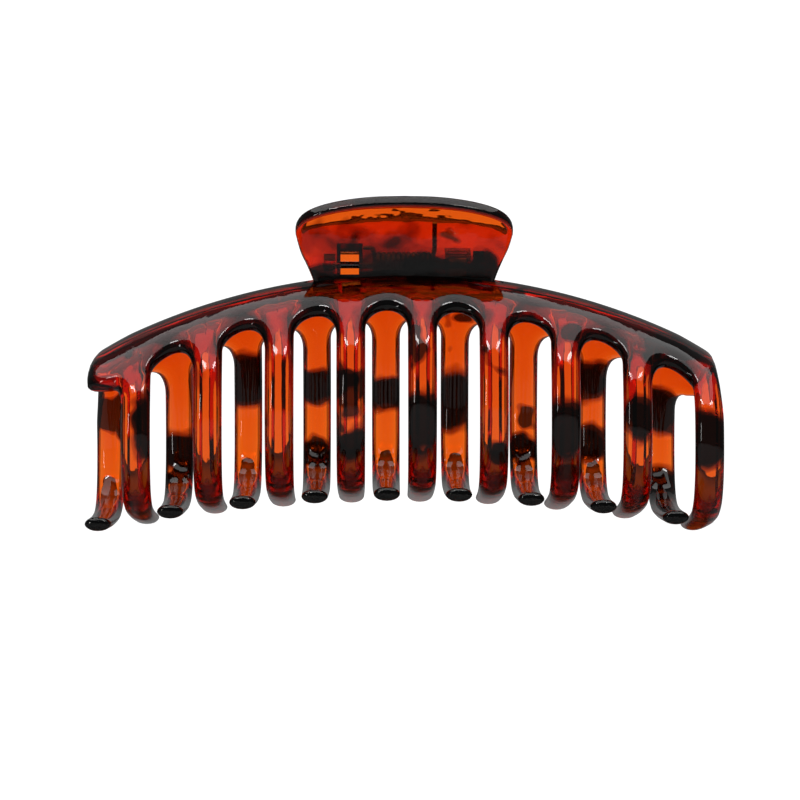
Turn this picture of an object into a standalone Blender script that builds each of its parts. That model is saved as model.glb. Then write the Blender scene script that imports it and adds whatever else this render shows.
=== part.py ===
"""Hair claw clip, 110 mm long: two identical moulded jaws, a steel hinge pin and a torsion spring.

Metres, +Z up, standing on its tooth tips. The hinge pin runs along X. The front jaw is on the -Y side, and the
rear jaw is the same moulding turned half a turn about Z.
"""

import math

import bmesh
import bpy
from mathutils import Matrix, Vector

MM = 0.001

# Overall layout
HALF_LENGTH = 54.8 * MM
PITCH = 12.3 * MM
TEETH = 9
FIRST_TOOTH_X = PITCH / 4 - 4 * PITCH
TOOTH_WIDTH = 5.0 * MM
TOOTH_TIP_WIDTH = 4.5 * MM
PIN_Z = 46.7 * MM

# Body of a jaw: its upper edge follows an arc, its tooth tips droop towards the ends
CREST_Z = 43.9 * MM
CREST_RADIUS = 110 * MM
TIP_Z = 6.4 * MM
TIP_DROOP = 1.89
WALL = 3.4 * MM
TIP_WALL = 0.72
EDGE_ROUND = 1.0 * MM
CROWN_BELOW_CREST = 5.4 * MM
STUB_LOW_Z = 24.4 * MM
STUB_CORNER = 1.6 * MM
END_PULL = 3.4 * MM

# Side profile of a jaw at mid-length, mid-wall (y, z): crest, round back, curled tooth, tip
PROFILE = (
    (-3.4 * MM, 43.9 * MM),
    (-8.0 * MM, 41.9 * MM),
    (-12.2 * MM, 38.0 * MM),
    (-15.2 * MM, 32.8 * MM),
    (-16.9 * MM, 27.0 * MM),
    (-17.3 * MM, 21.0 * MM),
    (-16.4 * MM, 15.3 * MM),
    (-13.4 * MM, 11.0 * MM),
    (-8.0 * MM, 8.7 * MM),
    (0.0 * MM, 7.6 * MM),
    (11.5 * MM, 6.9 * MM),
    (23.4 * MM, 6.4 * MM),
)

# Thumb tab: half outline (x, z) seen from the front, and side profile (y, z), mid-wall
TAB_SIDE = ((15.2, 42.0), (16.0, 44.2), (17.0, 46.9), (18.1, 49.5), (18.9, 51.9))
TAB_TOP = ((18.9, 51.9), (18.8, 53.1), (17.6, 54.5), (14.9, 55.7), (10.6, 56.7), (5.6, 57.3), (0.0, 57.5))
TAB_PROFILE = ((-5.0, 41.5), (-5.0, 44.5), (-5.4, 47.5), (-6.7, 50.7), (-9.2, 53.9), (-12.5, 56.7), (-13.8, 57.8))
TAB_WALL = 2.5 * MM

# Hinge
PIN_RADIUS = 0.6 * MM
PIN_HALF_LENGTH = 14.2 * MM
PIN_HOLE_RADIUS = 0.66 * MM
HEAD_RADIUS = 2.3 * MM
BRACKET_X = (-11.7 * MM, -7.2 * MM)
WINDOW_X = (-11.05 * MM, -7.85 * MM)
WINDOW_Z = (44.7 * MM, 48.6 * MM)
LUG_X = (12.0 * MM, 14.0 * MM)

# Spring
WIRE_RADIUS = 0.42 * MM
COIL_RADIUS = 2.25 * MM
COIL_HALF_LENGTH = 5.2 * MM
COIL_TURNS = 10

GAP_STEPS = 8
BODY_ROWS = 4
ROW_STEP = 0.036
TOOTH_ROWS = 11
TOOTH_COLUMNS = 2


def clear_scene():
    for item in list(bpy.data.objects):
        bpy.data.objects.remove(item, do_unlink=True)


def catmull(points, t):
    """Smooth curve through points (tuples of equal length) at t from 0 to 1, evenly shared between the points."""
    last = len(points) - 1
    at = min(max(t, 0.0), 1.0) * last
    k = min(int(at), last - 1)
    f = at - k
    p1 = Vector(points[k])
    p2 = Vector(points[k + 1])
    p0 = Vector(points[k - 1]) if k > 0 else 2 * p1 - p2
    p3 = Vector(points[k + 2]) if k + 2 <= last else 2 * p2 - p1
    a = 2 * p1
    b = (p2 - p0) * f
    c = (2 * p0 - 5 * p1 + 4 * p2 - p3) * f * f
    d = (3 * p1 - p0 - 3 * p2 + p3) * f * f * f
    return 0.5 * (a + b + c + d)


def spaced(points, count):
    """Points evenly spaced by length along the smooth curve."""
    fine = [catmull(points, i / 400) for i in range(401)]
    run = [0.0]
    for a, b in zip(fine, fine[1:]):
        run.append(run[-1] + (b - a).length)
    out = []
    k = 0
    for i in range(count + 1):
        want = run[-1] * i / count
        while k < 399 and run[k + 1] < want:
            k += 1
        f = (want - run[k]) / (run[k + 1] - run[k])
        out.append(fine[k].lerp(fine[k + 1], min(max(f, 0.0), 1.0)))
    return out


PROFILE_FINE = spaced(PROFILE, 600)


def profile_at(u):
    at = min(max(u, 0.0), 1.0) * 600
    k = min(int(at), 599)
    return PROFILE_FINE[k].lerp(PROFILE_FINE[k + 1], at - k)


def crest_z(x):
    return CREST_Z - (CREST_RADIUS - math.sqrt(CREST_RADIUS**2 - x * x))


def tip_z(x):
    return TIP_Z - TIP_DROOP * x * x


def on_jaw(x, u, foot_x=None):
    """Point on the mid-wall surface: the back flattens towards the ends, the tooth curl keeps its shape."""
    y, z = profile_at(u)
    low = tip_z(x if foot_x is None else foot_x)
    full = CREST_Z - TIP_Z
    share = max((z - TIP_Z) / full, 0.0)
    short = full - (crest_z(x) - low)
    height = low + (z - TIP_Z) - short * share**1.6
    near_end = max(abs(x) - 47 * MM, 0.0) / (HALF_LENGTH - 47 * MM)
    pull = END_PULL * near_end * max((share - 0.84) / 0.16, 0.0) ** 1.6
    return Vector((x - math.copysign(pull, x), y, height))


def u_of_height(x, z):
    """Position along the profile of a height on its upper part, above the curl."""
    high = on_jaw(x, 0.0).z
    for k in range(600):
        low = on_jaw(x, (k + 1) / 600).z
        if low <= z:
            return (k + (high - z) / (high - low)) / 600
        high = low
    return 1.0


def tooth_x(i):
    return FIRST_TOOTH_X + i * PITCH


def crown_top(x):
    return crest_z(x) - CROWN_BELOW_CREST


def spring_line(side_gap_x):
    """Height at which the round crown of a gap meets the tooth edges."""
    return crown_top(side_gap_x) - (PITCH - TOOTH_WIDTH) / 2


def row_u(row, low_u):
    """The upper rows of the back run level along the jaw, and the last one follows the edge below."""
    level = min(row, BODY_ROWS - 2) * ROW_STEP
    return level + (low_u - level) * max(row - BODY_ROWS + 2, 0) / 2


class Grid:
    """Shared-vertex quad grid on the jaw's mid-wall surface."""

    def __init__(self):
        self.mesh = bmesh.new()
        self.wall = self.mesh.verts.layers.deform.verify()

    def column(self, points):
        return [self.mesh.verts.new(p) for p in points]

    def fill(self, columns):
        for left, right in zip(columns, columns[1:]):
            for k in range(min(len(left), len(right)) - 1):
                corners = [left[k], left[k + 1], right[k + 1], right[k]]
                corners = [c for i, c in enumerate(corners) if c not in corners[:i]]
                if len(corners) > 2:
                    self.mesh.faces.new(corners)


def edge_heights(i):
    """Heights where tooth i's left and right edges leave the crowns of the gaps beside it."""
    x = tooth_x(i)
    left = spring_line(x - PITCH / 2)
    right = spring_line(x + PITCH / 2)
    return left, right


def jaw_surface():
    grid = Grid()
    radius = (PITCH - TOOTH_WIDTH) / 2
    tooth_columns = []
    for i in range(TEETH):
        centre = tooth_x(i)
        left, right = edge_heights(i)
        if i == TEETH - 1:
            right = left
        columns = []
        for c in range(TOOTH_COLUMNS + 1):
            share = c / TOOTH_COLUMNS
            x = centre + (share - 0.5) * TOOTH_WIDTH
            top_u = u_of_height(x, left + (right - left) * share)
            points = [on_jaw(x, row_u(r, top_u)) for r in range(BODY_ROWS)]
            end = 1.0 - 0.012 * (2 * share - 1) ** 2
            for r in range(TOOTH_ROWS + 1):
                u = top_u + (end - top_u) * r / TOOTH_ROWS
                taper = (u - top_u) / (end - top_u)
                narrow = TOOTH_WIDTH + (TOOTH_TIP_WIDTH - TOOTH_WIDTH) * taper**2
                x_here = centre + (share - 0.5) * narrow
                points.append(on_jaw(x_here, u, x_here + (centre - x_here) * min(2 * taper, 1.0)))
            columns.append(grid.column(points))
        grid.fill(columns)
        tooth_columns.append(columns)
    for i in range(TEETH - 1):
        centre = tooth_x(i) + PITCH / 2
        line = spring_line(centre)
        columns = [tooth_columns[i][-1][: BODY_ROWS + 1]]
        for step in range(1, GAP_STEPS):
            angle = math.pi * (1 - step / GAP_STEPS)
            top_x = centre - radius + 2 * radius * step / GAP_STEPS
            low_x = centre + radius * math.cos(angle)
            low_u = u_of_height(low_x, line + radius * math.sin(angle))
            points = []
            for r in range(BODY_ROWS + 1):
                f = r / BODY_ROWS
                points.append(on_jaw(top_x + (low_x - top_x) * f, row_u(r, low_u)))
            columns.append(grid.column(points))
        columns.append(tooth_columns[i + 1][0][: BODY_ROWS + 1])
        grid.fill(columns)
    stub(grid, tooth_columns[0][0][: BODY_ROWS + 1], radius)
    return grid.mesh


def stub(grid, joint, radius):
    """Short end of the body past the first tooth: a quarter crown, a flat lower edge and a rounded corner."""
    start = joint[0].co.x
    line = spring_line(start - radius)
    length = start + HALF_LENGTH
    low = []
    for angle in (math.radians(35), math.radians(90)):
        low.append((start - radius * 0.5 * (1 - math.cos(angle)), line + (STUB_LOW_Z - line) * math.sin(angle)))
    low.append((start - length + STUB_CORNER, STUB_LOW_Z))
    low.append((start - length, STUB_LOW_Z + STUB_CORNER))
    columns = [joint]
    count = len(low)
    for step, (low_x, low_z) in enumerate(low, 1):
        top_x = start - length * step / count
        low_u = u_of_height(low_x, low_z)
        points = []
        for r in range(BODY_ROWS + 1):
            f = r / BODY_ROWS
            points.append(on_jaw(top_x + (low_x - top_x) * f, low_u * f))
        columns.append(grid.column(points))
    grid.fill(columns[::-1])


def tab_surface():
    """Thumb tab mid-wall: columns fan from its base to its rounded top."""
    columns = 14
    rows = 6
    mesh = bmesh.new()
    top_half = spaced([(x * MM, z * MM) for x, z in TAB_TOP], columns // 2)
    side = [Vector(p) * MM for p in TAB_SIDE]
    top = [Vector((-p[0], p[1])) for p in top_half] + list(reversed(top_half))[1:]
    profile = [Vector(p) * MM for p in TAB_PROFILE]
    grid = []
    for c in range(columns + 1):
        share = 2 * c / columns - 1
        line = []
        for r in range(rows + 1):
            f = r / rows
            edge = catmull(side, f)
            base_z = side[0].y + (CREST_Z - 2 * MM - side[0].y) * (1 - share * share)
            z = base_z + (top[c].y - base_z) * f
            lean = (top[c].x - share * side[-1].x) * f
            x = share * edge.x + lean
            line.append(mesh.verts.new((x, depth_at(profile, z), z)))
        grid.append(line)
    for left, right in zip(grid, grid[1:]):
        for r in range(rows):
            mesh.faces.new((left[r], left[r + 1], right[r + 1], right[r]))
    return mesh


def depth_at(profile, z):
    for a, b in zip(profile, profile[1:]):
        if z <= b.y or b is profile[-1]:
            f = (z - a.y) / (b.y - a.y)
            return a.x + (b.x - a.x) * f
    return profile[-1].x


def object_from(mesh, name, collection):
    data = bpy.data.meshes.new(name)
    bmesh.ops.recalc_face_normals(mesh, faces=mesh.faces)
    mesh.to_mesh(data)
    mesh.free()
    item = bpy.data.objects.new(name, data)
    collection.objects.link(item)
    return item


def thicken(item, wall, edge, thin_group=None, thin=1.0):
    """Solid wall from a mid-wall surface, with its outline edges rounded."""
    solid = item.modifiers.new("wall", "SOLIDIFY")
    solid.thickness = wall
    solid.offset = 0.0
    solid.use_even_offset = False
    if thin_group:
        solid.vertex_group = thin_group
        solid.thickness_vertex_group = thin
    bevel = item.modifiers.new("edges", "BEVEL")
    bevel.width = edge
    bevel.segments = 1
    bevel.limit_method = "ANGLE"
    bevel.angle_limit = math.radians(50)
    bevel.use_clamp_overlap = True


def prism(outline, x_range, name, collection):
    """Solid of a (y, z) outline run along X."""
    mesh = bmesh.new()
    ends = []
    for x in x_range:
        ends.append([mesh.verts.new((x, y, z)) for y, z in outline])
    mesh.faces.new(ends[0])
    mesh.faces.new(list(reversed(ends[1])))
    count = len(outline)
    for k in range(count):
        n = (k + 1) % count
        mesh.faces.new((ends[0][k], ends[1][k], ends[1][n], ends[0][n]))
    return object_from(mesh, name, collection)


def rod(radius, x_range, name, collection, sides=24):
    mesh = bmesh.new()
    length = x_range[1] - x_range[0]
    turn = Matrix.Rotation(math.pi / 2, 4, "Y")
    place = Matrix.Translation(((x_range[0] + x_range[1]) / 2, 0, PIN_Z)) @ turn
    bmesh.ops.create_cone(
        mesh,
        cap_ends=True,
        segments=sides,
        radius1=radius,
        radius2=radius,
        depth=length,
        matrix=place,
    )
    return object_from(mesh, name, collection)


def box(low, high, name, collection):
    outline = [(low[1], low[2]), (high[1], low[2]), (high[1], high[2]), (low[1], high[2])]
    return prism(outline, (low[0], high[0]), name, collection)


def head_outline(foot_low, foot_high, turn_from, turn_to):
    """Outline of a hinge plate: a foot in the tab wall and a round head about the pin."""
    outline = [foot_low, foot_high]
    steps = 8
    for k in range(steps + 1):
        angle = math.radians(turn_from + (turn_to - turn_from) * k / steps)
        outline.append((HEAD_RADIUS * math.cos(angle), PIN_Z + HEAD_RADIUS * math.sin(angle)))
    return outline


def join(item, others, operation):
    for other in others:
        step = item.modifiers.new(other.name, "BOOLEAN")
        step.operation = operation
        step.solver = "EXACT"
        step.object = other


def baked(item, name):
    """Final mesh of an object with its modifiers, cleaned of stray slivers."""
    graph = bpy.context.evaluated_depsgraph_get()
    graph.update()
    data = bpy.data.meshes.new_from_object(item.evaluated_get(graph), depsgraph=graph)
    data.name = name
    mesh = bmesh.new()
    mesh.from_mesh(data)
    bmesh.ops.remove_doubles(mesh, verts=mesh.verts, dist=0.000001)
    bmesh.ops.dissolve_degenerate(mesh, edges=mesh.edges, dist=0.000001)
    bmesh.ops.triangulate(mesh, faces=[f for f in mesh.faces if len(f.verts) > 4])
    mesh.to_mesh(data)
    mesh.free()
    return data


def tool_collection():
    tools = bpy.data.collections.new("tools")
    bpy.context.scene.collection.children.link(tools)
    return tools


def set_origin(data, origin):
    data.transform(Matrix.Translation(-Vector(origin)))


def shade(data, angle):
    for polygon in data.polygons:
        polygon.use_smooth = True
    mesh = bmesh.new()
    mesh.from_mesh(data)
    for edge in mesh.edges:
        if edge.is_manifold and edge.calc_face_angle(0.0) > math.radians(angle):
            edge.smooth = False
    mesh.to_mesh(data)
    mesh.free()


def material(name, colour, metallic, roughness, transmission=0.0):
    item = bpy.data.materials.new(name)
    item.use_nodes = True
    shader = item.node_tree.nodes["Principled BSDF"]
    shader.inputs["Base Color"].default_value = (*colour, 1.0)
    shader.inputs["Metallic"].default_value = metallic
    shader.inputs["Roughness"].default_value = roughness
    shader.inputs["Transmission Weight"].default_value = transmission
    return item


def make_jaw_mesh(tools):
    body = object_from(jaw_surface(), "jaw_body", tools)
    group = body.vertex_groups.new(name="full_wall")
    for vertex in body.data.vertices:
        share = (vertex.co.z - tip_z(vertex.co.x)) / (CREST_Z - TIP_Z)
        group.add([vertex.index], min(max(share * 1.6, 0.0), 1.0), "REPLACE")
    thicken(body, WALL, EDGE_ROUND, "full_wall", TIP_WALL)
    tab = object_from(tab_surface(), "thumb_tab", tools)
    thicken(tab, TAB_WALL, 0.5 * MM)
    bracket_outline = head_outline((-5.2 * MM, 43.0 * MM), (-6.4 * MM, 50.9 * MM), 62, -115)
    bracket = prism(bracket_outline, BRACKET_X, "bracket", tools)
    lug_outline = head_outline((-5.2 * MM, 43.2 * MM), (-5.9 * MM, 49.2 * MM), 80, -115)
    lug = prism(lug_outline, LUG_X, "outer_lug", tools)
    window_low = (WINDOW_X[0], -9 * MM, WINDOW_Z[0])
    window_high = (WINDOW_X[1], 4 * MM, WINDOW_Z[1])
    window = box(window_low, window_high, "window", tools)
    holes = [
        rod(PIN_HOLE_RADIUS, (BRACKET_X[0] - MM, BRACKET_X[1] + MM), "bracket_hole", tools),
        rod(PIN_HOLE_RADIUS, (LUG_X[0] - 0.5 * MM, LUG_X[1] + 0.5 * MM), "lug_hole", tools),
    ]
    join(body, [tab, bracket, lug], "UNION")
    join(body, [window, *holes], "DIFFERENCE")
    return body


def make_pin(parts):
    pin = rod(PIN_RADIUS, (-PIN_HALF_LENGTH, PIN_HALF_LENGTH), "hinge_pin", parts)
    bevel = pin.modifiers.new("ends", "BEVEL")
    bevel.width = 0.12 * MM
    bevel.segments = 1
    bevel.limit_method = "ANGLE"
    bevel.angle_limit = math.radians(60)
    return pin


def spring_path():
    """Close-wound coil with a leg up each tab, seen from its left end to its right end."""
    points = []
    steps = COIL_TURNS * 12
    start = math.radians(90)
    for k in range(steps + 1):
        angle = start - 2 * math.pi * COIL_TURNS * k / steps
        x = -COIL_HALF_LENGTH + 2 * COIL_HALF_LENGTH * k / steps
        points.append(Vector((x, COIL_RADIUS * math.cos(angle), PIN_Z + COIL_RADIUS * math.sin(angle))))
    return points


def make_spring(parts):
    coil = spring_path()
    left = -COIL_HALF_LENGTH
    right = COIL_HALF_LENGTH
    rear_leg = [
        (left - 1.9 * MM, 4.6 * MM, PIN_Z + 3.8 * MM),
        (left - 0.7 * MM, 4.6 * MM, PIN_Z + 3.8 * MM),
        (left - 0.2 * MM, 4.2 * MM, PIN_Z + 3.6 * MM),
        (left - 0.05 * MM, 1.6 * MM, PIN_Z + 2.4 * MM),
    ]
    front_leg = [
        (right + 0.05 * MM, -1.6 * MM, PIN_Z + 2.4 * MM),
        (right + 0.1 * MM, -3.9 * MM, PIN_Z + 3.5 * MM),
        (right + 0.1 * MM, -4.9 * MM, PIN_Z + 4.7 * MM),
        (right + 0.1 * MM, -7.0 * MM, PIN_Z + 7.7 * MM),
    ]
    points = [Vector(p) for p in rear_leg] + coil + [Vector(p) for p in front_leg]
    curve = bpy.data.curves.new("torsion_spring", "CURVE")
    curve.dimensions = "3D"
    curve.bevel_depth = WIRE_RADIUS
    curve.bevel_resolution = 2
    curve.use_fill_caps = True
    line = curve.splines.new("POLY")
    line.points.add(len(points) - 1)
    for spot, point in zip(line.points, points):
        spot.co = (*point, 1.0)
    spring = bpy.data.objects.new("torsion_spring", curve)
    parts.objects.link(spring)
    return spring


def main():
    clear_scene()
    scene = bpy.context.scene
    parts = bpy.data.collections.new("claw_clip")
    scene.collection.children.link(parts)
    tools = tool_collection()
    body = make_jaw_mesh(tools)
    jaw = baked(body, "jaw")
    set_origin(jaw, (0, 0, PIN_Z))
    shade(jaw, 35)
    amber = material("tortoiseshell_plastic", (0.42, 0.07, 0.015), 0.0, 0.12, 0.5)
    steel = material("brushed_steel", (0.62, 0.62, 0.64), 1.0, 0.28)
    for name, turn in (("front_jaw", 0.0), ("rear_jaw", math.pi)):
        item = bpy.data.objects.new(name, jaw.copy())
        item.data.materials.append(amber)
        item.location = (0, 0, PIN_Z)
        item.rotation_euler = (0, 0, turn)
        parts.objects.link(item)
    pin = make_pin(parts)
    pin.data.materials.append(steel)
    spring = make_spring(parts)
    spring.data.materials.append(steel)
    for item in tools.objects:
        item.hide_render = True
        item.display_type = "WIRE"


main()
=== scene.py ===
import math

import bmesh
import bpy
from mathutils import Matrix, Vector


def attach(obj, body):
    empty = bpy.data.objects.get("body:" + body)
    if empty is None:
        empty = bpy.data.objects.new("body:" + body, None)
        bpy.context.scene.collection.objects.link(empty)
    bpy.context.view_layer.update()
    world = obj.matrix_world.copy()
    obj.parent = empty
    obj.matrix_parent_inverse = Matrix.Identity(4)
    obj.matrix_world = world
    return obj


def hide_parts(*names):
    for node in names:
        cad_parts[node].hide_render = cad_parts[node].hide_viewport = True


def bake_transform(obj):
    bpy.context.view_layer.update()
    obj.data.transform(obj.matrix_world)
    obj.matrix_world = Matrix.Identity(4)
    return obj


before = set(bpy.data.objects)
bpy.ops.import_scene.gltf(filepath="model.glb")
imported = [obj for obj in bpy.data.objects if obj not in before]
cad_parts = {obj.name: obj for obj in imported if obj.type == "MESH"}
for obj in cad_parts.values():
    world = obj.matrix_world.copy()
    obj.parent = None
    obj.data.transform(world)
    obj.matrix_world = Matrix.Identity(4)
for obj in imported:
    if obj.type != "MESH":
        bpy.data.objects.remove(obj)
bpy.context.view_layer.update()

MM = 0.001

# Clip layout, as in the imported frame: x runs along the clip, the front is at -y.
HALF_LENGTH = 54.6 * MM
PITCH = 12.3 * MM
TEETH = 9
FIRST_TOOTH_X = PITCH / 4 - 4 * PITCH
TOOTH_WIDTH = 5.0 * MM
TOOTH_TIP_WIDTH = 4.5 * MM
PIN_Z = 46.7 * MM
CREST_Z = 43.8 * MM
CREST_RADIUS = 110 * MM
TIP_Z = 6.45 * MM
TIP_DROOP = 1.89  # the tips' line falls by this times x squared, in metres
WALL_HALF = 1.65 * MM
TIP_SHARE = 0.72  # wall thickness at the tips, as a share of the back's
THINNING = 1.6  # the wall thins below 1 / 1.6 of the jaw's height
CROWN_BELOW_CREST = 5.4 * MM
STUB_LOW_Z = 24.4 * MM
END_PULL_X = 47 * MM  # from here out the back's ends are drawn in towards the middle
END_PULL = 1.1 * MM
END_PULL_LEFT = (0.85, 2.5)  # share of the height where the pull starts, and its power
END_PULL_RIGHT = (0.6, 1.3)
HEIGHT_POWER = 1.6  # how the height lost towards the ends is spread down the profile

# Rounding of the jaw's edges
SIDE_ROUND = 2.4 * MM
INNER_ROUND = 2.2 * MM
CROWN_ROUND = 3.7 * MM
CREST_ROUND = 1.3 * MM
CREST_FLAT = 0.25  # share of the thickness left at the very edge
TIP_ROUND = 0.9 * MM
TIP_FLAT = 0.35
TIP_SAG = 1.1 * MM  # how far a tip's corners stay back from its middle
STUB_RADIUS = 2.0 * MM
STUB_CORNER = 1.1 * MM
STUB_DROP = 2.6 * MM  # how far below the stub's edge the first tooth's left side starts

# Side profile of the front jaw from crest to tip, (y, z) in mm
PROFILE = (
    (-3.4, 43.8),
    (-8.0, 41.8),
    (-12.2, 37.9),
    (-15.2, 32.7),
    (-16.9, 27.0),
    (-17.3, 21.0),
    (-16.4, 15.3),
    (-13.4, 11.0),
    (-8.0, 8.7),
    (0.0, 7.6),
    (11.5, 6.9),
    (23.2, 6.45),
)

# Thumb tab: its right edge and its top edge as (x, z), its side profile as (y, z), in mm
TAB_SIDE = ((15.2, 42.0), (16.0, 44.2), (17.0, 46.9), (18.1, 49.5), (18.85, 51.9))
TAB_TOP = (
    (18.85, 51.9),
    (18.75, 53.1),
    (17.55, 54.5),
    (14.9, 55.65),
    (10.6, 56.6),
    (5.6, 57.15),
    (0.0, 57.3),
)
TAB_PROFILE = (
    (-5.0, 41.5),
    (-5.0, 44.5),
    (-5.4, 47.5),
    (-6.7, 50.7),
    (-9.2, 53.9),
    (-12.5, 56.7),
    (-13.8, 57.8),
)
TAB_HALF = 1.2 * MM
TAB_ROUND = 0.7 * MM
TAB_SUNK = 2.6 * MM  # how far below the crest the tab's foot begins, inside the back
TAB_HALF_WIDTH = 18 * MM  # together with the height, sets the rim's rows of points
TAB_HEIGHT = 16 * MM
TAB_RIM_START = 0.96

# Hinge: from-to ranges, feet on the tab as (y, z), and the angles of the rounded heads in degrees
HEAD_RADIUS = 2.3 * MM
HOLE_RADIUS = 0.66 * MM
BRACKET_X = (-11.7 * MM, -7.2 * MM)
BRACKET_FOOT = ((-5.2 * MM, 43.0 * MM), (-6.4 * MM, 50.9 * MM))
BRACKET_TURN = (62, -115)
BRACKET_BEVEL = 0.15 * MM
WINDOW_X = (-11.05 * MM, -7.85 * MM)
WINDOW_Y = (-9 * MM, 4 * MM)
WINDOW_Z = (44.7 * MM, 48.6 * MM)
LUG_X = (12.0 * MM, 14.0 * MM)
LUG_FOOT = ((-5.2 * MM, 43.2 * MM), (-5.9 * MM, 49.2 * MM))
LUG_TURN = (80, -115)
LUG_BEVEL = 0.2 * MM
PIN_RADIUS = 0.6 * MM
PIN_HALF_LENGTH = 14.2 * MM
PIN_BEVEL = 0.15 * MM
WIRE_RADIUS = 0.42 * MM
COIL_RADIUS = 2.25 * MM
COIL_HALF_LENGTH = 5.2 * MM
COIL_TURNS = 12

# Spring legs as offsets in mm from the coil's end on the pin's axis
REAR_LEG = ((-1.9, 4.6, 3.8), (-0.7, 4.6, 3.8), (-0.2, 4.2, 3.6), (-0.05, 1.6, 2.4), (0.0, 0.3, 2.25))
FRONT_LEG = ((0.0, -0.3, 2.25), (0.05, -1.6, 2.4), (0.1, -3.9, 3.5), (0.1, -4.9, 4.7), (0.1, -7.0, 7.7))

# Mesh density and clean-up
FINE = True
LEVELS = 5
ARC_STEPS = 24 if FINE else 12
FAN_ROWS = 4
TOOTH_ROWS = 40 if FINE else 20
PROFILE_STEPS = 900
CURVE_STEPS = 800
TAB_STEPS = 200
TAB_EDGE_STEPS = 40
TAB_ROWS = 26
TAB_COLUMNS = 30
STUB_STEPS = 8
STUB_FLATS = 4
HEAD_STEPS = 24
COIL_STEPS = 28  # points per turn
REAR_LEG_STEPS = 24
FRONT_LEG_STEPS = 28
PIN_SIDES = 32
MERGE = 2e-6  # points closer than this are joined
JAW_CREASE = 38  # faces that meet at more than this many degrees keep a crease
PIN_CREASE = 40
SPRING_CREASE = 50


def catmull(points, t):
    """Point at share t of a smooth curve through the points."""
    last = len(points) - 1
    at = min(max(t, 0.0), 1.0) * last
    k = min(int(at), last - 1)
    f = at - k
    p1 = Vector(points[k])
    p2 = Vector(points[k + 1])
    p0 = Vector(points[k - 1]) if k > 0 else 2 * p1 - p2
    p3 = Vector(points[k + 2]) if k + 2 <= last else 2 * p2 - p1
    return 0.5 * (
        2 * p1 + (p2 - p0) * f + (2 * p0 - 5 * p1 + 4 * p2 - p3) * f * f + (3 * p1 - p0 - 3 * p2 + p3) * f**3
    )


def spaced(points, count):
    """Evenly spaced points on the smooth curve through the points, and its length."""
    fine = [catmull(points, i / CURVE_STEPS) for i in range(CURVE_STEPS + 1)]
    run = [0.0]
    for a, b in zip(fine, fine[1:]):
        run.append(run[-1] + (b - a).length)
    out = []
    k = 0
    for i in range(count + 1):
        want = run[-1] * i / count
        while k < CURVE_STEPS - 1 and run[k + 1] < want:
            k += 1
        f = (want - run[k]) / (run[k + 1] - run[k])
        out.append(fine[k].lerp(fine[k + 1], min(max(f, 0.0), 1.0)))
    return out, run[-1]


PROFILE_FINE, PROFILE_LENGTH = spaced([(y * MM, z * MM) for y, z in PROFILE], PROFILE_STEPS)


def along_line(line, share):
    """Point at a share of the way along evenly spaced points."""
    last = len(line) - 1
    at = share * last
    k = min(int(at), last - 1)
    return line[k].lerp(line[k + 1], at - k)


def profile_at(s):
    return along_line(PROFILE_FINE, min(max(s / PROFILE_LENGTH, 0.0), 1.0))


def crest_z(x):
    return CREST_Z - (CREST_RADIUS - math.sqrt(CREST_RADIUS**2 - x * x))


def tip_z(x):
    return TIP_Z - TIP_DROOP * x * x


def on_jaw(x, s, foot=None):
    """Point of the mid-wall surface: length x, distance s down the side profile from the crest."""
    y, z = profile_at(s)
    low = tip_z(x if foot is None else foot)
    full = CREST_Z - TIP_Z
    share = max((z - TIP_Z) / full, 0.0)
    short = full - (crest_z(x) - low)
    height = low + (z - TIP_Z) - short * share**HEIGHT_POWER
    near_end = max(abs(x) - END_PULL_X, 0.0) / (HALF_LENGTH - END_PULL_X)
    start, power = END_PULL_LEFT if x < 0 else END_PULL_RIGHT
    pull = END_PULL * near_end * max((share - start) / (1 - start), 0.0) ** power
    return Vector((x - math.copysign(pull, x), y, height))


def s_of_height(x, z):
    """Distance down the side profile where the jaw reaches height z at length x."""
    high = on_jaw(x, 0.0).z
    for k in range(PROFILE_STEPS):
        low = on_jaw(x, PROFILE_LENGTH * (k + 1) / PROFILE_STEPS).z
        if low <= z:
            return PROFILE_LENGTH * (k + (high - z) / (high - low)) / PROFILE_STEPS
        high = low
    return PROFILE_LENGTH


def tooth_x(i):
    return FIRST_TOOTH_X + i * PITCH


def crown_top(x):
    return crest_z(x) - CROWN_BELOW_CREST


GAP = (PITCH - TOOTH_WIDTH) / 2


def depths(reach):
    """Distances in from an edge, closer together where the edge turns over."""
    return [reach * (1 - math.cos(0.5 * math.pi * k / LEVELS)) for k in range(LEVELS + 1)]


SIDE = depths(SIDE_ROUND)
CROWN = depths(CROWN_ROUND)
CREST = depths(CREST_ROUND)
TIP = depths(TIP_ROUND)


def swell(distance, reach, flat=0.0):
    """Share of full wall thickness at a distance in from a rounded edge."""
    f = min(max(distance / reach, 0.0), 1.0)
    return flat + (1 - flat) * math.sqrt(max(1 - (1 - f) ** 2, 0.0))


FULL = Vector((1.0, 1.0))


def edge(distance):
    """Shares of full thickness on the outer and the inner face: the outer face is rounder."""
    return Vector((swell(distance, SIDE_ROUND), swell(distance, INNER_ROUND)))


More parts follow.
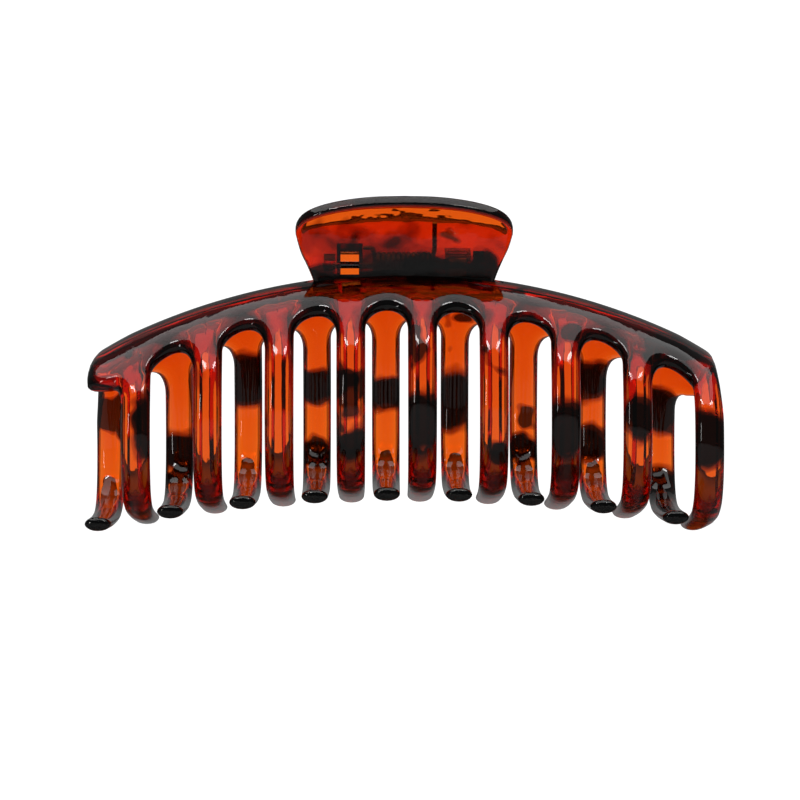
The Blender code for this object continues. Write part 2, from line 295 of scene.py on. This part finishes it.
class Wall:
    """Mid-wall surface patches that become a closed solid of varying thickness."""

    def __init__(self):
        self.points = []
        self.index = {}
        self.faces = []

    def point(self, x, s, thick, foot=None):
        key = (round(x * 1e7), round(s * 1e7))
        if key not in self.index:
            self.index[key] = len(self.points)
            self.points.append((x, s, thick, foot))
        return self.index[key]

    def patch(self, columns):
        """Faces between neighbouring columns of points."""
        for left, right in zip(columns, columns[1:]):
            for k in range(len(left) - 1):
                ring = []
                for corner in (left[k], left[k + 1], right[k + 1], right[k]):
                    if corner not in ring:
                        ring.append(corner)
                if len(ring) > 2:
                    self.faces.append(ring)

    def solid(self, name):
        step = 0.02 * MM
        mid = []
        for x, s, thick, foot in self.points:
            here = on_jaw(x, s, foot)
            s0 = min(max(s, step), PROFILE_LENGTH - step)
            along = on_jaw(x, s0 + step, foot) - on_jaw(x, s0 - step, foot)
            across = on_jaw(x + step, s, foot) - on_jaw(x - step, s, foot)
            normal = along.cross(across).normalized()
            if normal.y > 0 and s < PROFILE_LENGTH * 0.4:  # the back's outer face looks forward
                normal = -normal
            _, z = profile_at(s)
            share = min(max((z - TIP_Z) / (CREST_Z - TIP_Z), 0.0) * THINNING, 1.0)
            half = WALL_HALF * (TIP_SHARE + (1 - TIP_SHARE) * share)
            mid.append((here, normal, half * thick.x, half * thick.y))
        return shell(mid, self.faces, name)


def shell(mid, faces, name):
    """Closed solid from mid-wall points (place, normal, outer and inner depth) and faces."""
    mesh = bmesh.new()
    front = [mesh.verts.new(p + n * out) for p, n, out, _ in mid]
    back = []
    for i, (p, n, _, inner) in enumerate(mid):
        back.append(front[i] if inner < 1e-7 else mesh.verts.new(p - n * inner))
    for face in faces:
        mesh.faces.new([front[i] for i in face])
        mesh.faces.new([back[i] for i in reversed(face)])
    sides = dict.fromkeys(pair for face in faces for pair in zip(face, face[1:] + face[:1]))
    for a, b in sides:
        if (b, a) not in sides:  # an open side: close the wall there
            ring = []
            for v in (front[b], front[a], back[a], back[b]):
                if v not in ring:
                    ring.append(v)
            if len(ring) > 2:
                mesh.faces.new(ring)
    if mesh.calc_volume(signed=True) < 0:
        bmesh.ops.reverse_faces(mesh, faces=mesh.faces)
    return link(mesh, name)


def link(mesh, name):
    """Object made from a bmesh, in the scene."""
    data = bpy.data.meshes.new(name)
    mesh.to_mesh(data)
    mesh.free()
    item = bpy.data.objects.new(name, data)
    bpy.context.scene.collection.objects.link(item)
    return item


def rising(wall, x, s, top_x, side=FULL):
    """Points from length x and distance s up to the crest at length top_x, crest last."""
    line = []
    for r in range(1, FAN_ROWS + 1):
        f = r / FAN_ROWS
        line.append(wall.point(x + (top_x - x) * f, s + (CREST_ROUND - s) * f, side))
    for d in reversed(CREST[:-1]):
        line.append(wall.point(top_x, d, side * swell(d, CREST_ROUND, CREST_FLAT)))
    return line


def tooth_starts(i):
    """Distances from the crest where tooth i's left and right edges begin."""
    centre = tooth_x(i)
    half = TOOTH_WIDTH / 2
    if i == 0:
        left = s_of_height(centre - half, STUB_LOW_Z - STUB_DROP)
    else:
        left = s_of_height(centre - half, crown_top(centre - PITCH / 2) - GAP)
    if i == TEETH - 1:
        return left, left
    return left, s_of_height(centre + half, crown_top(centre + PITCH / 2) - GAP)


def start_at(i, x):
    left, right = STARTS[i]
    share = (x - tooth_x(i)) / TOOTH_WIDTH + 0.5
    return left + (right - left) * share


def add_tooth(wall, i):
    """Tooth i, and the back above it up to the crest."""
    centre = tooth_x(i)
    half = TOOTH_WIDTH / 2
    inner = [-(half - SIDE_ROUND) * 0.5, 0.0, (half - SIDE_ROUND) * 0.5]
    places = [-(half - d) for d in SIDE] + inner + [half - d for d in reversed(SIDE)]
    last = len(places) - 1
    columns = []
    for k, offset in enumerate(places):
        level = min(k, last - k)
        side = edge(SIDE[level]) if level <= LEVELS else FULL
        top = start_at(i, centre + offset)
        end = PROFILE_LENGTH - TIP_SAG * (1 - math.sqrt(1 - (offset / half) ** 2 * 0.96))
        line = []
        stops = [top + (end - TIP_ROUND - top) * r / TOOTH_ROWS for r in range(TOOTH_ROWS + 1)]
        stops += [end - d for d in reversed(TIP[:-1])]
        for s in stops:
            taper = min(max((s - top) / (PROFILE_LENGTH - top), 0.0), 1.0)
            width = 1 + (TOOTH_TIP_WIDTH / TOOTH_WIDTH - 1) * taper**2
            x = centre + offset * width
            foot = x + (centre - x) * min(2 * taper, 1.0)
            line.append(wall.point(x, s, side * swell(end - s, TIP_ROUND, TIP_FLAT), foot))
        columns.append(line)
    wall.patch(columns)
    upper = range(LEVELS, last - LEVELS + 1)
    if i == TEETH - 1:
        upper = range(LEVELS, last + 1)
    tops = []
    for k in upper:
        x = centre + places[k]
        side = edge(SIDE[last - k]) if last - k < LEVELS else FULL
        tops.append([columns[k][0]] + rising(wall, x, start_at(i, x), x, side))
    wall.patch([list(reversed(line)) for line in tops])


def add_gap(wall, i):
    """Back over the gap between teeth i and i + 1: rings round the crown, then lines up to the crest."""
    centre = tooth_x(i) + PITCH / 2
    top = s_of_height(centre, crown_top(centre))
    lines = []
    for j in range(ARC_STEPS + 1):
        angle = math.pi * (1 - j / ARC_STEPS)
        share = (1 + math.cos(angle)) / 2
        line = []
        for k in range(LEVELS + 1):
            left = start_at(i, centre - GAP - SIDE[k])
            right = start_at(i + 1, centre + GAP + SIDE[k])
            base = left + (right - left) * share
            depth = SIDE[k] + (CROWN[k] - SIDE[k]) * math.sin(angle)
            rise = (base - top + depth) * math.sin(angle)
            x = centre + (GAP + SIDE[k]) * math.cos(angle)
            line.append(wall.point(x, base - rise, edge(SIDE[k])))
        x, s = wall.points[line[-1]][:2]
        reach = GAP + SIDE_ROUND
        top_x = centre - reach + 2 * reach * j / ARC_STEPS
        line += rising(wall, x, s, top_x)
        lines.append(list(reversed(line)))
    wall.patch(lines)


def add_stub(wall):
    """End of the back past the first tooth."""
    start = tooth_x(0) - TOOTH_WIDTH / 2
    hub = start - STUB_RADIUS
    end = -HALF_LENGTH
    inset = end + SIDE_ROUND

    def flat_s(x):
        s = s_of_height(max(x, end), STUB_LOW_Z)
        over = min(max((end + STUB_CORNER - x) / STUB_CORNER, 0.0), 0.995)
        return s - STUB_CORNER * (1 - math.sqrt(1 - over * over))

    top = flat_s(hub)
    lines = []
    total = STUB_STEPS + STUB_FLATS
    for j in range(total + LEVELS + 1):
        line = []
        if j <= STUB_STEPS:
            angle = 0.5 * math.pi * j / STUB_STEPS
            for k in range(LEVELS + 1):
                base = start_at(0, start + SIDE[k])
                x = hub + (STUB_RADIUS + SIDE[k]) * math.cos(angle)
                line.append(wall.point(x, base - (base - top + SIDE[k]) * math.sin(angle), edge(SIDE[k])))
            side = FULL
        else:
            level = max(total + LEVELS - j, 0) if j > total else LEVELS
            side = edge(SIDE[level]).lerp(FULL, 0.1)
            x = hub + (inset - hub) * (j - STUB_STEPS) / STUB_FLATS if j <= total else end + SIDE[level]
            low = flat_s(x)
            for k in range(LEVELS + 1):
                low_edge = edge(SIDE[k])
                line.append(wall.point(x, low - SIDE[k], Vector((side.x * low_edge.x, side.y * low_edge.y))))
        x, s = wall.points[line[-1]][:2]
        top_x = start + SIDE_ROUND + (inset - start - SIDE_ROUND) * j / total if j <= total else x
        line += rising(wall, x, s, top_x, side)
        lines.append(line)
    wall.patch(lines)


STARTS = [tooth_starts(i) for i in range(TEETH)]


def jaw_body(name):
    wall = Wall()
    for i in range(TEETH):
        add_tooth(wall, i)
    for i in range(TEETH - 1):
        add_gap(wall, i)
    add_stub(wall)
    return wall.solid(name)


TAB_FINE, _ = spaced([(y * MM, z * MM) for y, z in TAB_PROFILE], TAB_STEPS)


def tab_depth(z):
    """Depth (y) of the tab's mid-wall surface at height z."""
    for a, b in zip(TAB_FINE, TAB_FINE[1:]):
        if z <= b.y:
            return a.x + (b.x - a.x) * ((z - a.y) / (b.y - a.y))
    return TAB_FINE[-1].x


def near_segment(p, a, b):
    """Distance from p to the line from a to b."""
    along = b - a
    t = min(max((p - a).dot(along) / max(along.length_squared, 1e-18), 0.0), 1.0)
    return (p - a - along * t).length


def tab(name):
    """Thumb tab: flared wall with a flat, softly rounded rim."""
    rim = list(reversed(depths(TAB_ROUND)[:-1]))
    across = [k / TAB_COLUMNS for k in range(TAB_COLUMNS)] + [1 - d / TAB_HALF_WIDTH for d in rim]
    across = [-share for share in reversed(across[1:])] + across
    up = [TAB_RIM_START * r / TAB_ROWS for r in range(TAB_ROWS + 1)] + [1 - d / TAB_HEIGHT for d in rim]
    top, _ = spaced([(x * MM, z * MM) for x, z in TAB_TOP], TAB_STEPS)
    side = [Vector(p) * MM for p in TAB_SIDE]
    outline = [catmull(side, k / TAB_EDGE_STEPS) for k in range(TAB_EDGE_STEPS + 1)] + top[1:]
    outline = [Vector((p.x, tab_depth(p.y), p.y)) for p in outline]
    step = 0.3 * MM
    mid = []
    for f in up:
        side_x = catmull(side, f).x
        for share in across:
            peak = along_line(top, 1 - abs(share))
            base = side[0].y + (CREST_Z - TAB_SUNK - side[0].y) * (1 - share * share)
            z = base + (peak.y - base) * f
            x = abs(share) * side_x + (peak.x - abs(share) * side[-1].x) * f
            place = Vector((x, tab_depth(z), z))
            gap = min(near_segment(place, a, b) for a, b in zip(outline, outline[1:]))
            slope = (tab_depth(z + step) - tab_depth(z - step)) / (2 * step)
            normal = Vector((0, -1, slope)).normalized()
            depth = min(gap, TAB_ROUND)
            thick = TAB_HALF - TAB_ROUND + math.sqrt(TAB_ROUND**2 - (TAB_ROUND - depth) ** 2)
            place.x = math.copysign(place.x, share)
            mid.append((place, normal, thick, thick))
    width = len(across)
    faces = []
    for r in range(len(up) - 1):
        for c in range(width - 1):
            low = r * width + c
            faces.append([low, low + 1, low + width + 1, low + width])
    return shell(mid, faces, name)


def prism(outline, x_range, name, bevel=0.0):
    """Solid with a (y, z) outline between two x, its sharp edges bevelled."""
    mesh = bmesh.new()
    ends = [[mesh.verts.new((x, y, z)) for y, z in outline] for x in x_range]
    mesh.faces.new(ends[0])
    mesh.faces.new(list(reversed(ends[1])))
    count = len(outline)
    for k in range(count):
        n = (k + 1) % count
        mesh.faces.new((ends[0][k], ends[1][k], ends[1][n], ends[0][n]))
    if bevel:
        sharp = [e for e in mesh.edges if e.calc_face_angle(0) > 0.7]
        bmesh.ops.bevel(mesh, geom=sharp, offset=bevel, segments=2, affect="EDGES", clamp_overlap=True)
    bmesh.ops.recalc_face_normals(mesh, faces=mesh.faces)
    return link(mesh, name)


def rod(radius, x_range, name, sides=48):
    """Cylinder on the hinge's axis between two x."""
    mesh = bmesh.new()
    turn = Matrix.Rotation(math.pi / 2, 4, "Y")
    place = Matrix.Translation(((x_range[0] + x_range[1]) / 2, 0, PIN_Z)) @ turn
    length = x_range[1] - x_range[0]
    bmesh.ops.create_cone(
        mesh, cap_ends=True, segments=sides, radius1=radius, radius2=radius, depth=length, matrix=place
    )
    return link(mesh, name)


def head_outline(foot, turn):
    """Outline of a hinge ear: its foot on the tab, then round the pin from one angle to another."""
    outline = list(foot)
    for k in range(HEAD_STEPS + 1):
        angle = math.radians(turn[0] + (turn[1] - turn[0]) * k / HEAD_STEPS)
        outline.append((HEAD_RADIUS * math.cos(angle), PIN_Z + HEAD_RADIUS * math.sin(angle)))
    return outline


def combine(item, other, operation):
    """Boolean of item with other, which is used up."""
    step = item.modifiers.new(other.name, "BOOLEAN")
    step.operation = operation
    step.solver = "EXACT"
    step.object = other
    bpy.context.view_layer.update()
    graph = bpy.context.evaluated_depsgraph_get()
    data = bpy.data.meshes.new_from_object(item.evaluated_get(graph), depsgraph=graph)
    item.modifiers.clear()
    item.data = data
    bpy.data.objects.remove(other, do_unlink=True)


def smooth(item, angle):
    """Smooth shading, with creases where faces meet at more than the angle in degrees."""
    data = item.data
    mesh = bmesh.new()
    mesh.from_mesh(data)
    bmesh.ops.remove_doubles(mesh, verts=mesh.verts, dist=MERGE)
    bmesh.ops.dissolve_degenerate(mesh, edges=mesh.edges, dist=MERGE)
    for face in mesh.faces:
        face.smooth = True
    for crease in mesh.edges:
        crease.smooth = crease.calc_face_angle(0.0) < math.radians(angle)
    mesh.to_mesh(data)
    mesh.free()


def make_jaw(name):
    """One moulding: the tab with its bracket, lug, window and pin holes, joined to back and teeth."""
    top = tab(name + "_tab")
    bracket = prism(head_outline(BRACKET_FOOT, BRACKET_TURN), BRACKET_X, "bracket", BRACKET_BEVEL)
    lug = prism(head_outline(LUG_FOOT, LUG_TURN), LUG_X, "lug", LUG_BEVEL)
    combine(top, bracket, "UNION")
    combine(top, lug, "UNION")
    (near, far), (low, high) = WINDOW_Y, WINDOW_Z
    opening = [(near, low), (far, low), (far, high), (near, high)]
    combine(top, prism(opening, WINDOW_X, "window"), "DIFFERENCE")
    combine(top, rod(HOLE_RADIUS, (BRACKET_X[0] - MM, BRACKET_X[1] + MM), "hole"), "DIFFERENCE")
    combine(top, rod(HOLE_RADIUS, (LUG_X[0] - 0.5 * MM, LUG_X[1] + 0.5 * MM), "hole"), "DIFFERENCE")
    jaw = jaw_body(name)
    combine(jaw, top, "UNION")
    smooth(jaw, JAW_CREASE)
    return jaw


# ---------------------------------------------------------------- materials

# Near-black used for the blotches and for the painted shade along the crest and over the crowns
BLOTCH_AND_SHADE_COLOUR = (0.006, 0.003, 0.002, 1)
HALO_COLOUR = (0.30, 0.10, 0.04, 1)
AMBER_COLOUR = (0.97, 0.50, 0.13, 1)
TINT_COLOUR = (0.90, 0.47, 0.0, 1)
TINT_DENSITY = 1200
BLOTCH_DEPTH = 7  # half depth of every blotch, mm
WARP = 6.4 * MM  # how far noise bends the blotches' outlines, from end to end
# Painted shade along the crest: a dark band drawn into the colour, which also darkens the crease at the foot
# of the tab
CREST_SHADE_BAND = 1.15 * MM  # height of the dark band's middle over the mid-wall crest
CREST_SHADE_BAND_HALF = 0.55 * MM
STEEL_COLOUR = (0.32, 0.32, 0.34, 1)

# Blotches as (x, y, z, half width, half height) in mm; the front list also takes patches of painted shade
# over the crowns, added below
FRONT_BLOTCHES_AND_CROWN_SHADE = (
    (-45.0, -17, 18.0, 2.4, 6.0),
    (-9.3, -17, 15.6, 4.0, 2.6),
    (3.1, -17, 18.8, 4.2, 5.2),
    (16.5, -17, 13.8, 2.0, 1.6),
    (27.7, -17, 18.0, 4.0, 5.0),
    (40.0, -17, 19.2, 2.4, 3.6),
    (52.3, -17, 15.8, 3.8, 4.8),
    (48.0, -13, 33.0, 7.5, 3.5),
    (1.0, 0.8, 45.0, 19.0, 8.0),
    (-5.0, -14.0, 48.9, 36.0, 4.0),
    (6.0, -6, 45.6, 7.0, 2.4),
    (14.0, -6, 45.5, 3.2, 2.6),
    (-15.0, -6, 43.5, 3.5, 2.2),
)
REAR_BLOTCHES = (
    (-50.3, 17, 19.0, 2.2, 3.6),
    (-40.0, 17, 14.5, 4.0, 4.2),
    (-27.6, 17, 27.5, 4.0, 4.6),
    (-15.3, 17, 26.0, 4.2, 3.2),
    (-15.3, 16, 13.8, 4.2, 2.8),
    (-3.0, 17, 25.0, 4.0, 3.2),
    (9.3, 17, 23.6, 3.8, 5.4),
    (21.5, 17, 15.0, 4.0, 2.4),
    (33.8, 17, 27.3, 4.0, 3.8),
    (33.8, 16, 15.9, 4.0, 4.0),
    (46.1, 17, 22.0, 3.6, 4.6),
    (46.1, 12, 9.5, 3.6, 3.0),
)
# Painted shade: a dark patch over the crown of every gap of the front jaw, where the rounded edge looks dark
for i in range(TEETH - 1):  # one over every gap of the front jaw
    crown_x = tooth_x(i) + PITCH / 2
    FRONT_BLOTCHES_AND_CROWN_SHADE += ((crown_x / MM, -12.0, crown_top(crown_x) / MM - 2.5, 5.1, 4.9),)


def tree(name):
    item = bpy.data.materials.new(name)
    item.use_nodes = True
    return item, item.node_tree.nodes, item.node_tree.links, item.node_tree.nodes["Principled BSDF"]


def noise(nodes, scale, detail=2.0):
    node = nodes.new("ShaderNodeTexNoise")
    node.inputs["Scale"].default_value = scale
    node.inputs["Detail"].default_value = detail
    return node


def spread(nodes, low, high):
    """Map Range from 0..1 to low..high."""
    node = nodes.new("ShaderNodeMapRange")
    node.inputs["To Min"].default_value = low
    node.inputs["To Max"].default_value = high
    return node


def mapping(nodes, location, scale=(1, 1, 1)):
    node = nodes.new("ShaderNodeMapping")
    node.inputs["Location"].default_value = location
    node.inputs["Scale"].default_value = scale
    return node


def vector_math(nodes, operation):
    node = nodes.new("ShaderNodeVectorMath")
    node.operation = operation
    return node


def chain(nodes, links, operation, *values):
    """Output of a Math node fed with numbers or other outputs."""
    node = nodes.new("ShaderNodeMath")
    node.operation = operation
    for socket, value in zip(node.inputs, values):
        if isinstance(value, (int, float)):
            socket.default_value = value
        else:
            links.new(value, socket)
    return node.outputs["Value"]


def length_of(nodes, links, vector):
    node = vector_math(nodes, "LENGTH")
    links.new(vector, node.inputs[0])
    return node.outputs["Value"]


def tortoise(name, blotches, shift):
    """Glossy amber plastic with near-black blotches that run through the wall, plus painted shade: a dark
    band along the crest, and any dark patches over the crowns that come in with the blotches.
    """
    item, nodes, links, shader = tree(name)
    where = nodes.new("ShaderNodeTexCoord").outputs["Object"]
    bend = noise(nodes, 150)
    links.new(where, bend.inputs["Vector"])
    centred = vector_math(nodes, "MULTIPLY_ADD")
    links.new(bend.outputs["Color"], centred.inputs[0])
    centred.inputs[1].default_value = (WARP, WARP, WARP)
    centred.inputs[2].default_value = (-WARP / 2, -WARP / 2, -WARP / 2)
    warped = vector_math(nodes, "ADD")
    links.new(where, warped.inputs[0])
    links.new(centred.outputs["Vector"], warped.inputs[1])

    # Distance to the nearest blotch or patch of painted shade: 0 in its middle, about 1 at its edge
    near = None
    for x, y, z, wide, tall in blotches:
        scale = [1 / (half * MM) for half in (wide, BLOTCH_DEPTH, tall)]
        place = mapping(nodes, [-centre * MM * size for centre, size in zip((x, y, z), scale)], scale)
        links.new(warped.outputs["Vector"], place.inputs["Vector"])
        reach = length_of(nodes, links, place.outputs["Vector"])
        near = reach if near is None else chain(nodes, links, "MINIMUM", near, reach)

    # Smaller blotches where the noise is above about 0.66
    spots = noise(nodes, 90)
    move = mapping(nodes, shift)
    links.new(where, move.inputs["Vector"])
    links.new(move.outputs["Vector"], spots.inputs["Vector"])
    loose = chain(nodes, links, "SUBTRACT", 8.1, chain(nodes, links, "MULTIPLY", spots.outputs["Fac"], 11.0))
    near = chain(nodes, links, "MINIMUM", near, loose)

    # Painted shade: a dark band along the crest, a circle about the y axis; it also darkens the crease at
    # the tab's foot
    arc = mapping(nodes, (0, 0, CREST_RADIUS - CREST_Z), (1, 0, 1))
    links.new(where, arc.inputs["Vector"])
    far = length_of(nodes, links, arc.outputs["Vector"])
    off = chain(nodes, links, "SUBTRACT", far, CREST_RADIUS + CREST_SHADE_BAND)
    band = chain(nodes, links, "DIVIDE", chain(nodes, links, "ABSOLUTE", off), CREST_SHADE_BAND_HALF)
    near = chain(nodes, links, "MINIMUM", near, band)

    ramp = nodes.new("ShaderNodeValToRGB")
    links.new(chain(nodes, links, "MULTIPLY", near, 0.5), ramp.inputs["Fac"])
    ramp.color_ramp.interpolation = "EASE"
    ramp.color_ramp.elements[0].position = 0.42
    ramp.color_ramp.elements[1].position = 0.60
    ramp.color_ramp.elements.new(0.5)
    for stop, colour in zip(ramp.color_ramp.elements, (BLOTCH_AND_SHADE_COLOUR, HALO_COLOUR, AMBER_COLOUR)):
        stop.color = colour
    links.new(ramp.outputs["Color"], shader.inputs["Base Color"])

    grain = noise(nodes, 420, 1.0)
    links.new(where, grain.inputs["Vector"])
    bump = nodes.new("ShaderNodeBump")
    bump.inputs["Strength"].default_value = 0.25
    bump.inputs["Distance"].default_value = 0.12 * MM
    links.new(grain.outputs["Fac"], bump.inputs["Height"])
    links.new(bump.outputs["Normal"], shader.inputs["Normal"])
    shader.inputs["Roughness"].default_value = 0.03
    shader.inputs["IOR"].default_value = 1.5
    shader.inputs["Transmission Weight"].default_value = 1.0
    absorb = nodes.new("ShaderNodeVolumeAbsorption")
    absorb.inputs["Color"].default_value = TINT_COLOUR
    absorb.inputs["Density"].default_value = TINT_DENSITY
    links.new(absorb.outputs["Volume"], nodes["Material Output"].inputs["Volume"])
    return item


def steel(name):
    """Bright metal with an uneven polish."""
    item, nodes, links, shader = tree(name)
    where = nodes.new("ShaderNodeTexCoord")
    wear = noise(nodes, 900)
    links.new(where.outputs["Object"], wear.inputs["Vector"])
    polish = spread(nodes, 0.2, 0.36)
    links.new(wear.outputs["Fac"], polish.inputs["Value"])
    links.new(polish.outputs["Result"], shader.inputs["Roughness"])
    shader.inputs["Base Color"].default_value = STEEL_COLOUR
    shader.inputs["Metallic"].default_value = 1.0
    return item


def paper(name, shade, ray, glow, glow_on_ray):
    """Matt paper that glows differently for one kind of light ray."""
    item, nodes, links, shader = tree(name)
    shader.inputs["Base Color"].default_value = (shade, shade, shade, 1)
    shader.inputs["Roughness"].default_value = 0.9
    shader.inputs["Emission Color"].default_value = (shade, shade, shade, 1)
    path = nodes.new("ShaderNodeLightPath")
    level = spread(nodes, glow, glow_on_ray)
    links.new(path.outputs[ray], level.inputs["Value"])
    links.new(level.outputs["Result"], shader.inputs["Emission Strength"])
    return item


# ---------------------------------------------------------------- pieces

front = make_jaw("front_jaw_shell")
rear = bpy.data.objects.new("rear_jaw_shell", front.data.copy())
bpy.context.scene.collection.objects.link(rear)
rear.data.transform(Matrix.Rotation(math.pi, 4, "Z"))
front.data.materials.clear()
rear.data.materials.clear()
front.data.materials.append(tortoise("tortoiseshell_front", FRONT_BLOTCHES_AND_CROWN_SHADE, (0.05, 0.03, 0.02)))
rear.data.materials.append(tortoise("tortoiseshell_rear", REAR_BLOTCHES, (0.11, 0.07, 0.31)))
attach(front, "front")
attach(rear, "rear")
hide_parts("front_jaw")
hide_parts("rear_jaw")
metal = steel("spring_steel")

pin = rod(PIN_RADIUS, (-PIN_HALF_LENGTH, PIN_HALF_LENGTH), "hinge_pin_rod", PIN_SIDES)
bevel = pin.modifiers.new("ends", "BEVEL")
bevel.width = PIN_BEVEL
bevel.segments = 2
bevel.limit_method = "ANGLE"
smooth(pin, PIN_CREASE)
pin.data.materials.append(metal)
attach(pin, "front")
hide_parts("hinge_pin")


def wire_tube(points, radius, name, sides=12):
    """Round wire swept along points."""
    mesh = bmesh.new()
    rings = []
    side = Vector((0, 1, 0))
    for k, p in enumerate(points):
        ahead = points[min(k + 1, len(points) - 1)] - points[max(k - 1, 0)]
        ahead.normalize()
        side = (side - ahead * side.dot(ahead)).normalized()
        up = ahead.cross(side)
        ring = []
        for c in range(sides):
            turn = 2 * math.pi * c / sides
            ring.append(mesh.verts.new(p + radius * (side * math.cos(turn) + up * math.sin(turn))))
        rings.append(ring)
    for a, b in zip(rings, rings[1:]):
        for c in range(sides):
            n = (c + 1) % sides
            mesh.faces.new((a[c], b[c], b[n], a[n]))
    mesh.faces.new(rings[0])
    mesh.faces.new(list(reversed(rings[-1])))
    bmesh.ops.recalc_face_normals(mesh, faces=mesh.faces)
    return link(mesh, name)


def leg(offsets, end_x, count):
    """Points along a spring leg, from offsets in mm to where the coil ends on the pin's axis."""
    points, _ = spaced([(end_x + x * MM, y * MM, PIN_Z + z * MM) for x, y, z in offsets], count)
    return points


def coil():
    """Spring's centre line: rear leg, turns round the pin, front leg."""
    steps = COIL_TURNS * COIL_STEPS
    turns = []
    for k in range(1, steps):
        angle = math.pi / 2 - 2 * math.pi * COIL_TURNS * k / steps
        x = 2 * COIL_HALF_LENGTH * k / steps - COIL_HALF_LENGTH
        turns.append(Vector((x, COIL_RADIUS * math.cos(angle), PIN_Z + COIL_RADIUS * math.sin(angle))))
    first = leg(REAR_LEG, -COIL_HALF_LENGTH, REAR_LEG_STEPS)
    return first + turns + leg(FRONT_LEG, COIL_HALF_LENGTH, FRONT_LEG_STEPS)


spring = wire_tube(coil(), WIRE_RADIUS, "torsion_spring_wire")
smooth(spring, SPRING_CREASE)
spring.data.materials.append(metal)
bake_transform(spring)
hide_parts("torsion_spring")

# ---------------------------------------------------------------- stage, light and camera


def board(name, corners, material):
    mesh = bmesh.new()
    mesh.faces.new([mesh.verts.new(c) for c in corners])
    item = link(mesh, name)
    item.data.materials.append(material)
    return item


FLOOR = 1.7  # half the floor's side, and the backdrop's distance, m
WIDE = 1.0  # half the backdrop's width, m
HIGH = 2.1  # the backdrop's height, m
floor_paper = paper("white_paper", 0.28, "Is Camera Ray", 0.0, 3.45)
backdrop_paper = paper("backdrop_paper", 0.3, "Is Reflection Ray", 3.7, 0.5)
ground = ((-FLOOR, -FLOOR, 0), (FLOOR, -FLOOR, 0), (FLOOR, FLOOR, 0), (-FLOOR, FLOOR, 0))
screen = ((-WIDE, FLOOR, 0), (WIDE, FLOOR, 0), (WIDE, FLOOR, HIGH), (-WIDE, FLOOR, HIGH))
board("floor", ground, floor_paper)
board("backdrop", screen, backdrop_paper)


def softbox(name, place, aim, size, power):
    """Area light at a place, aimed at a point; sizes in m, power in W."""
    data = bpy.data.lights.new(name, "AREA")
    data.shape = "RECTANGLE"
    data.size, data.size_y = size
    data.energy = power
    item = bpy.data.objects.new(name, data)
    item.location = place
    item.visible_camera = False
    item.rotation_euler = (Vector(aim) - Vector(place)).to_track_quat("-Z", "Y").to_euler()
    bpy.context.scene.collection.objects.link(item)


softbox("top_light", (0.0, -0.15, 0.55), (0, -0.15, 0.0), (0.9, 0.8), 3.2)
for hand in (-1, 1):
    softbox("strip_light", (hand * 0.3, -0.4, 0.5), (0, 0, 0.03), (0.22, 0.05), 0.5)
softbox("side_light", (-0.45, -0.45, 0.12), (0, 0, 0.03), (0.04, 0.2), 0.22)

# Sky: white to the camera, dim to reflections, half bright through the plastic
world = bpy.data.worlds.new("studio")
world.use_nodes = True
sky = world.node_tree.nodes
wires = world.node_tree.links
rays = sky.new("ShaderNodeLightPath")
seen = spread(sky, 0.08, 0.5)
wires.new(rays.outputs["Is Transmission Ray"], seen.inputs["Value"])
level = chain(sky, wires, "MAXIMUM", seen.outputs["Result"], rays.outputs["Is Camera Ray"])
sky["Background"].inputs["Color"].default_value = (1, 1, 1, 1)
wires.new(level, sky["Background"].inputs["Strength"])
bpy.context.scene.world = world

# Camera: level, just above the floor; the shift frames the clip as the photo does
DISTANCE = 0.780
CAMERA_X = -0.00645
CAMERA_Z = 0.0025
SENSOR = 36
VIEW_WIDTH = 0.14016  # what the picture spans at the clip, m
SHIFT_X = 0.04125
FLOOR_SHIFT = 0.164375  # shift that a camera at floor height would have
camera_data = bpy.data.cameras.new("camera")
camera_data.sensor_width = SENSOR
camera_data.lens = SENSOR * DISTANCE / VIEW_WIDTH
camera_data.shift_x = SHIFT_X
camera_data.shift_y = FLOOR_SHIFT - CAMERA_Z / VIEW_WIDTH
camera_data.clip_start = 0.01
camera = bpy.data.objects.new("camera", camera_data)
camera.location = (CAMERA_X, -DISTANCE, CAMERA_Z)
camera.rotation_euler = (math.pi / 2, 0, 0)
bpy.context.scene.collection.objects.link(camera)
bpy.context.scene.camera = camera
bpy.context.scene.view_settings.view_transform = "Standard"
bpy.context.scene.view_settings.look = "None"
